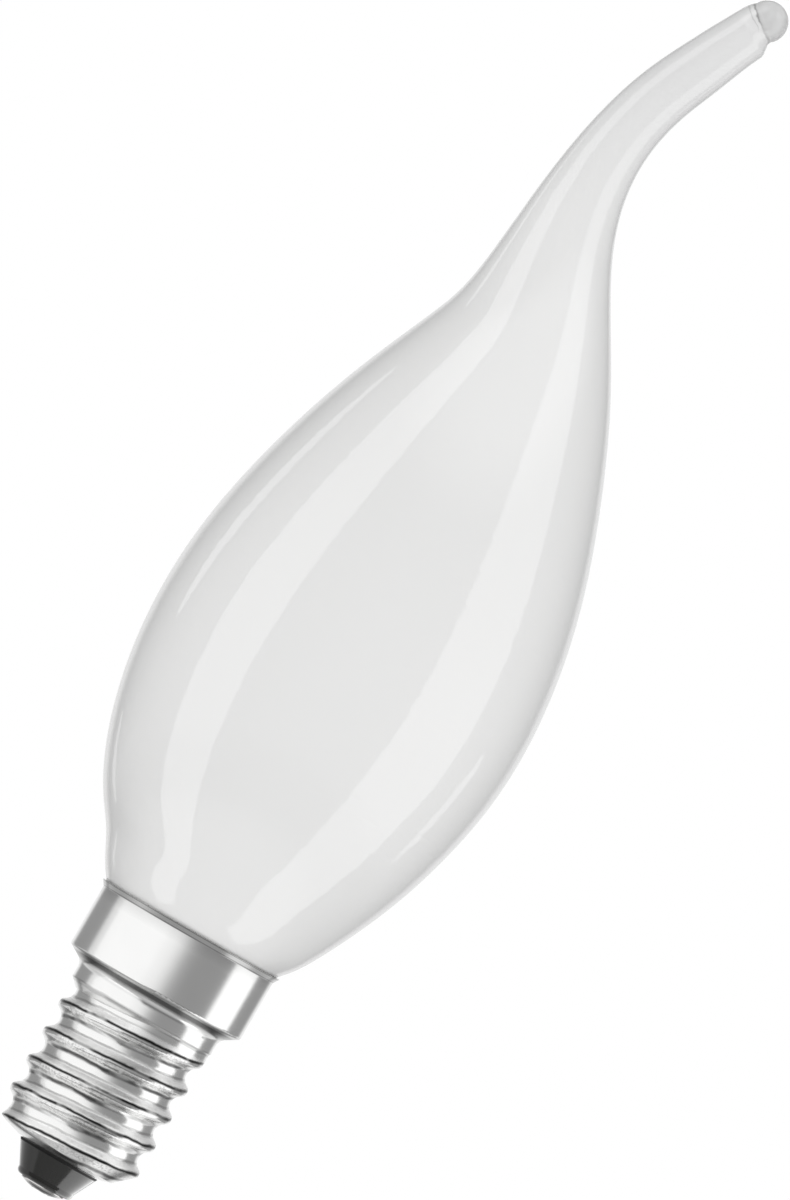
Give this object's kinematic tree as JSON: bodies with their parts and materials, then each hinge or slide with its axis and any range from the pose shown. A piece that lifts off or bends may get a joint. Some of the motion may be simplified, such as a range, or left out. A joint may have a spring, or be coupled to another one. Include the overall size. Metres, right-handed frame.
{
  "type": "candle bulb",
  "caption": "Frosted candle-shaped light bulb with a drawn-out bent flame tip and a small screw cap, for a chandelier or wall-light holder.",
  "frame": {"origin": "centre of the flat face of the centre contact, at the lowest end of the lamp", "axes": "+Z along the lamp's axis from the cap to the glass, +X the side towards which the end of the tip curls"},
  "size_m": [0.035, 0.035, 0.1228],
  "materials": {
    "frosted_glass": "white satin frosting, clear at the sealed end",
    "nickel_plate": "bright nickel plate",
    "black_insulator": "glossy black",
    "contact_metal": "tinned",
    "cement": "matt",
    "lead_wire": "plain wire"
  },
  "bodies": {
    "root": {"glass_bulb": "frosted_glass", "screw_cap": "nickel_plate", "insulator": "black_insulator", "centre_contact": "contact_metal", "basing_cement": "cement", "centre_lead": "lead_wire", "side_lead": "lead_wire"}
  },
  "joints": []
}
